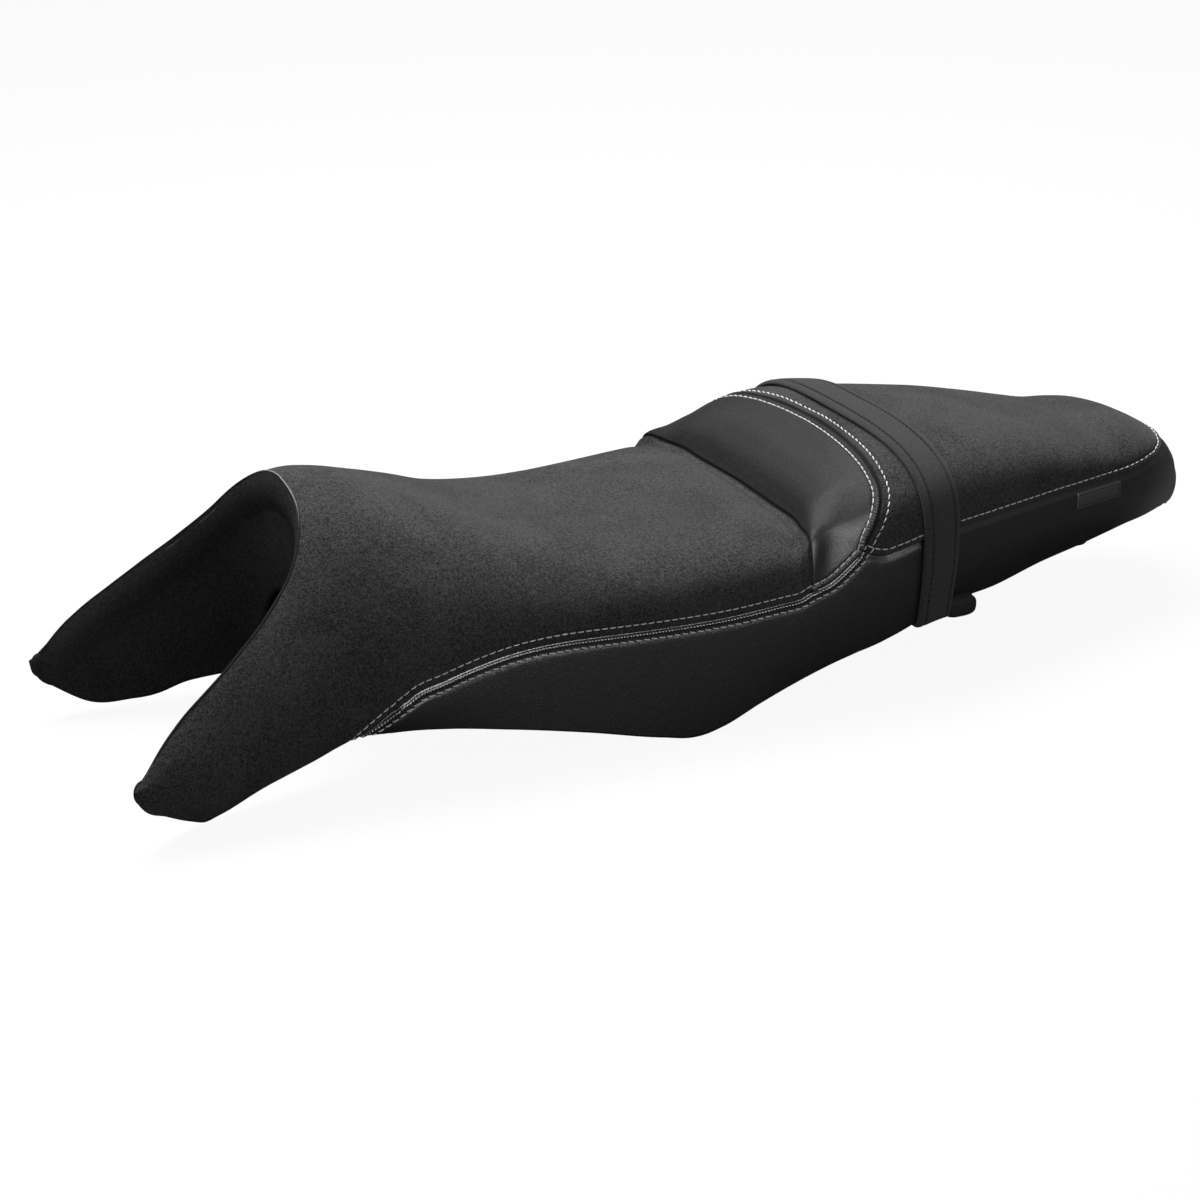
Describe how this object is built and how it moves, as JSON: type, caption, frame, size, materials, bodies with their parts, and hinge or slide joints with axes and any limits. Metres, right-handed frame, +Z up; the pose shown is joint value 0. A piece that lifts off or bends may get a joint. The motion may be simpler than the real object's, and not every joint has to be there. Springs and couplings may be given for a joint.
{
  "type": "motorcycle seat",
  "caption": "Dual comfort seat for a naked motorcycle: padded horns that straddle the tank, raised backrest step, grab strap and a tapering passenger pad.",
  "frame": {"origin": "on the seat's plane of symmetry, at the middle of its length, on the plane that its two knees and its latch striker stand on", "axes": "+X forward, from the tail to the horns; +Y to the rider's left; +Z up"},
  "size_m": [0.8478, 0.2524, 0.1873],
  "materials": {
    "suede": "charcoal suede-look seat fabric",
    "vinyl": "smooth black leather-look vinyl, satin",
    "side_vinyl": "black leather-look vinyl, semi-gloss",
    "lining": "dark suede-look lining",
    "foam": "moulded polyurethane foam",
    "pan_plastic": "moulded black polypropylene",
    "strap_vinyl": "black grained vinyl",
    "webbing": "woven nylon",
    "steel": "zinc-plated steel",
    "rubber": "black moulded rubber",
    "tag_vinyl": "blank vinyl tag"
  },
  "bodies": {
    "root": {"rider_panel": "suede", "step_panel": "vinyl", "passenger_panel": "suede", "side_panel_left": "side_vinyl", "side_panel_right": "side_vinyl", "arch_lining": "lining", "foam_core": "foam", "base_pan": "pan_plastic", "front_tongue": "pan_plastic", "tongue_screws": "steel", "strap_cover": "strap_vinyl", "strap_webbing": "webbing", "strap_clamps": "steel", "strap_bolts": "steel", "strap_washers": "steel", "striker_rod": "steel", "striker_plate": "steel", "striker_screws": "steel", "damper_front_left": "rubber", "damper_front_right": "rubber", "damper_rear_left": "rubber", "damper_rear_right": "rubber", "edge_block_left": "rubber", "edge_block_right": "rubber", "cover_staples": "steel", "side_tag": "tag_vinyl"}
  },
  "joints": []
}
